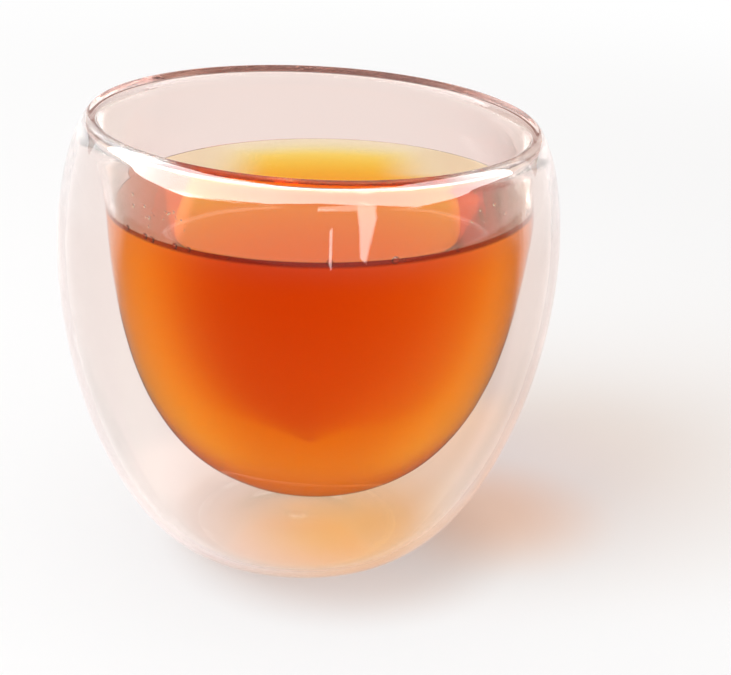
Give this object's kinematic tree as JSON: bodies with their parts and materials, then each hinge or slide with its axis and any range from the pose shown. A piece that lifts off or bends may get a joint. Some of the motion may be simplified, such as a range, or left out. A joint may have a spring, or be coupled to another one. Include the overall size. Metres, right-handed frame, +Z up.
{
  "type": "double-wall drinking glass",
  "caption": "Rounded double-wall tumbler of clear blown glass, its inner bowl hung from a fused rim above a sealed vent in the base, holding an amber hot drink.",
  "frame": {"origin": "on the glass's axis, at the plane that the foot ring stands on", "axes": "+Z up along the axis of the glass, towards the rim; the glass is the same all round, so X and Y are free"},
  "size_m": [0.088, 0.088, 0.0786],
  "materials": {
    "clear_glass": "fire-polished, clear",
    "amber_drink": "clear liquid"
  },
  "bodies": {
    "root": {"outer_wall": "clear_glass", "inner_bowl": "clear_glass", "rim_bead": "clear_glass", "vent_plug": "clear_glass", "drink": "amber_drink"}
  },
  "joints": []
}
